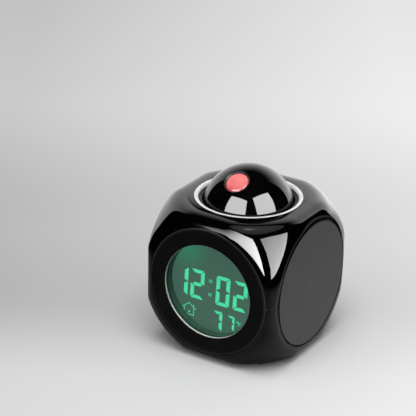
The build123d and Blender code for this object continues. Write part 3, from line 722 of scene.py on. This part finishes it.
steel = {"dark": (150, 150, 152), "light": (190, 190, 192), "roughness": (0.25, 0.4),
         "cloudScale": 700, "grainScale": 4000, "grainDepth": 0.00001}
dress(moulded("steel", steel, Metallic=1.0), "case_screws", "board_screws", "bridge_screws",
      "key_board_screws", "pivot_pins", "friction_washers", "head_spring", "crystal",
      "positive_contacts", "negative_contacts")

magnet = {"dark": (60, 60, 64), "light": (84, 84, 88), "roughness": (0.35, 0.5),
          "cloudScale": 300, "grainScale": 2500, "grainDepth": 0.00002}
dress(moulded("magnet", magnet, Metallic=1.0), "speaker_magnet")

cell = {"dark": (150, 151, 154), "light": (176, 177, 180), "roughness": (0.3, 0.4),
        "cloudScale": 200, "grainScale": 2500, "grainDepth": 0.00001}
dress(moulded("cell", cell, Metallic=0.8), "battery_cells")

board = {"dark": (16, 62, 34), "light": (26, 84, 48), "roughness": (0.35, 0.5),
         "cloudScale": 250, "grainScale": 3500, "grainDepth": 0.00001}
dress(moulded("board", board), "main_board", "key_board", "led_board")

switchBlack = {"dark": (16, 16, 17), "light": (28, 28, 29), "roughness": (0.35, 0.5),
               "cloudScale": 400, "grainScale": 3500, "grainDepth": 0.00001}
dress(moulded("switchBlack", switchBlack), "head_switch", "key_switches", "projector_switch",
      "clock_chip", "power_jack", "temperature_sensor")

rubber = {"dark": (18, 18, 18), "light": (30, 30, 30), "roughness": (0.75, 0.9),
          "cloudScale": 300, "grainScale": 3500, "grainDepth": 0.00003}
dress(moulded("rubber", rubber), "foot_front_left", "foot_front_right", "foot_rear_left",
      "foot_rear_right", "zebra_strip")

paper = {"dark": (26, 25, 24), "light": (44, 42, 40), "roughness": (0.8, 0.95),
         "cloudScale": 500, "grainScale": 3000, "grainDepth": 0.00004}
dress(moulded("paper", paper), "speaker_cone")

redLens = {"dark": (214, 110, 110), "light": (230, 140, 136), "roughness": (0.06, 0.1),
           "cloudScale": 150, "glow": (200, 50, 55), "glowStrength": 0.27}
dress(moulded("redLens", redLens, Emission_Color=screenColour(*redLens["glow"]),
              Emission_Strength=redLens["glowStrength"]), "lens_cap", "projection_led")

slide = {"dark": (200, 205, 205), "light": (220, 225, 225), "roughness": (0.1, 0.2),
         "cloudScale": 300}
dress(moulded("slide", slide, Transmission_Weight=0.8), "time_slide", "condenser_lens",
      "backlight_leds")

# the window lets lamps through, because light isn't followed through bent glass
window = {"ior": 1.3, "cloudScale": 80, "roughness": (0.0, 0.02)}


def clearPane(name, look):
    material = bpy.data.materials.new(name)
    add = nodeAdder(material)
    roughness = ranged(add, mottle(add, look["cloudScale"]), *noiseSpan, *look["roughness"])
    glass = add("BsdfPrincipled", Base_Color=(1, 1, 1, 1), IOR=look["ior"],
                Transmission_Weight=1.0, Roughness=roughness).outputs[0]
    gap = add("BsdfTransparent").outputs[0]
    pick = add("MixShader", add("LightPath").outputs["Is Shadow Ray"], glass, gap)
    add("OutputMaterial", pick.outputs[0])
    return material


dress(clearPane("window", window), "display_window")

# the lit panel behind the digits is greener and brighter where its lamps are
litPanel = {
    "base": (0.01, 0.02, 0.015, 1),
    "roughness": 0.3,
    "plain": (58, 94, 80),
    "glow": (46, 122, 90),
    "glowPlace": (-0.0165, 0.0605),
    "glowReach": 0.0165,
}
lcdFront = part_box("lcd_panel")[0].y


def litPane(name, look):
    material = bpy.data.materials.new(name)
    add = nodeAdder(material)
    x, z = look["glowPlace"]
    place = add("TexCoord").outputs["Object"]
    away = add("VectorMath", place, (x, lcdFront, z), operation="DISTANCE").outputs["Value"]
    nearness = ranged(add, away, 0.0, look["glowReach"], 1.0, 0.0, smooth=True)
    light = mixed(add, nearness, screenColour(*look["plain"]), screenColour(*look["glow"]))
    shader = add("BsdfPrincipled", Base_Color=look["base"], Roughness=look["roughness"],
                 Emission_Color=light, Emission_Strength=1.0)
    add("OutputMaterial", shader.outputs[0])
    return material


dress(litPane("litPanel", litPanel), "lcd_panel")
print("clock: finishes given")

# the print's front and back in metres before the glass, and how much the digits lean
display = {"front": 0.00006, "back": 0.00001, "slant": 0.05}
# sizes of the digits in millimetres, and their places from the display's middle
litBars = {"0": "abcdef", "1": "bc", "2": "abged", "7": "abc"}
bigDigits = {
    "width": 8.3, "height": 17.0, "stroke": 2.25, "bar": 2.0, "cut": 0.9, "gap": 0.28,
    "places": (("1", -20.0, -1.05), ("2", -10.0, -1.05), ("0", 5.65, -1.05), ("2", 16.2, -1.05)),
}
smallDigits = {
    "width": 5.5, "height": 11.4, "stroke": 1.8, "bar": 1.6, "cut": 0.6, "gap": 0.22,
    "places": (("7", 2.7, -18.9),),
}
tinyDigits = {
    "width": 4.3, "height": 8.8, "stroke": 1.35, "bar": 1.2, "cut": 0.45, "gap": 0.2,
    "places": (("7", 10.85, -18.1),),
}


def digitBars(width, height, stroke, bar, cut, gap):
    # the seven bars of a digit around its middle, mitred where they meet
    w, t, half = width / 2, stroke, height / 2
    k = gap * 0.7  # the gap across a mitre, as a step along either bar
    top = [(-w + (cut + k) / 2, half - (cut - k) / 2), (-w + cut, half), (w - cut, half),
           (w - (cut + k) / 2, half - (cut - k) / 2), (w - t - k, half - bar),
           (-w + t + k, half - bar)]
    left = [(-w, half - cut), (-w + (cut - k) / 2, half - (cut + k) / 2),
            (-w + t, half - bar - k), (-w + t, bar / 2 + gap / 2), (-w, gap / 2)]
    mid = [(-w + t / 2 + gap, 0), (-w + t + gap / 2, bar / 2), (w - t - gap / 2, bar / 2),
           (w - t / 2 - gap, 0), (w - t - gap / 2, -bar / 2), (-w + t + gap / 2, -bar / 2)]

    def flip(points, across, down):
        return [(across * x, down * z) for x, z in points]

    return {"a": top, "f": left, "b": flip(left, -1, 1), "g": mid, "e": flip(left, 1, -1),
            "c": flip(left, -1, -1), "d": flip(top, 1, -1)}


def printBar(shape, outline):
    # one thin printed bar from its outline in millimetres, x to the right and z up
    front, back = [
        [shape.verts.new((x * millimetre, lcdFront - display[key], cubeMiddle[2] + z * millimetre))
         for x, z in outline] for key in ("front", "back")]
    shape.faces.new(front)
    shape.faces.new(back[::-1])
    for i in range(len(outline)):
        j = (i + 1) % len(outline)
        shape.faces.new((front[j], front[i], back[i], back[j]))


def leaning(points, x, z):
    return [(px + x + display["slant"] * pz, pz + z) for px, pz in points]


def addPrint(name, outlines):
    def build(shape):
        for outline in outlines:
            printBar(shape, outline)
        bmesh.ops.recalc_face_normals(shape, faces=shape.faces)

    return addMesh(name, build)


def addDigits(name, look):
    bars = digitBars(*[look[key] for key in ("width", "height", "stroke", "bar", "cut", "gap")])
    return addPrint(name, [leaning(bars[lit], x, z) for figure, x, z in look["places"]
                           for lit in litBars[figure]])


def strip(start, stop, width):
    # a straight line with square ends
    a, b = Vector(start), Vector(stop)
    along = (b - a).normalized() * width / 2
    across = Vector((-along.y, along.x))
    return [tuple(p) for p in (a - along + across, b + along + across, b + along - across,
                               a - along - across)]


def strips(points, width):
    return [strip(start, stop, width) for start, stop in zip(points, points[1:])]


def circle(centre, radius, sides=12):
    angles = [math.tau * i / sides for i in range(sides)]
    return [(centre[0] + radius * math.cos(a), centre[1] + radius * math.sin(a)) for a in angles]


colon = {"size": 2.0, "places": ((-1.92, 2.89), (-2.23, -4.98))}
house = {
    "line": 0.45,
    "roof": ((-18.7, -16.15), (-15.0, -13.3), (-10.9, -16.15)),
    "walls": ((-18.0, -16.0), (-18.0, -20.1), (-12.2, -20.1), (-12.2, -16.0)),
    "chimney": ((-12.2, -14.0), (-12.2, -15.5)),
    "dot": (-14.9, -18.4),
    "dotRadius": 0.6,
}
degree = {"place": (14.8, -16.1), "radius": 0.45, "line": 0.3}
letter = {
    "line": 0.35,
    "strokes": (((15.6, -18.0), (15.6, -16.3)), ((15.6, -16.3), (17.0, -16.3)),
                ((15.6, -17.15), (16.7, -17.15))),
}
inks = {"digits": (73, 226, 165), "colon": (60, 175, 130), "signs": (70, 216, 158),
        "base": (0.01, 0.03, 0.02, 1), "roughness": 0.4, "cloudScale": 300, "dimmest": 0.9}


def addColon():
    half = colon["size"] / 2
    square = [(-half, half), (half, half), (half, -half), (-half, -half)]
    return addPrint("time_colon", [leaning(square, x, z) for x, z in colon["places"]])


def addSigns():
    outlines = [outline for key in ("roof", "walls", "chimney")
                for outline in strips(house[key], house["line"])]
    outlines.append(circle(house["dot"], house["dotRadius"]))
    ring = circle(degree["place"], degree["radius"])
    outlines += strips([*ring, ring[0]], degree["line"])
    outlines += [strip(start, stop, letter["line"]) for start, stop in letter["strokes"]]
    return addPrint("display_signs", outlines)


def litInk(name, colour):
    material = bpy.data.materials.new(name)
    add = nodeAdder(material)
    bright = screenColour(*colour)
    dim = tuple(inks["dimmest"] * c for c in bright[:3]) + (1.0,)
    shader = add("BsdfPrincipled", Base_Color=inks["base"], Roughness=inks["roughness"],
                 Emission_Color=shades(add, mottle(add, inks["cloudScale"]), dim, bright),
                 Emission_Strength=1.0)
    add("OutputMaterial", shader.outputs[0])
    return material


digitInk = litInk("digitGreen", inks["digits"])
colonInk = litInk("colonGreen", inks["colon"])
signInk = litInk("signGreen", inks["signs"])
for thing, ink in ((addDigits("time_digits", bigDigits), digitInk),
                   (addDigits("temperature_tens", smallDigits), digitInk),
                   (addDigits("temperature_ones", tinyDigits), digitInk),
                   (addColon(), colonInk),
                   (addSigns(), signInk)):
    thing.data.materials.append(ink)
    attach(thing, "case")
print("clock: digits laid on the glass")
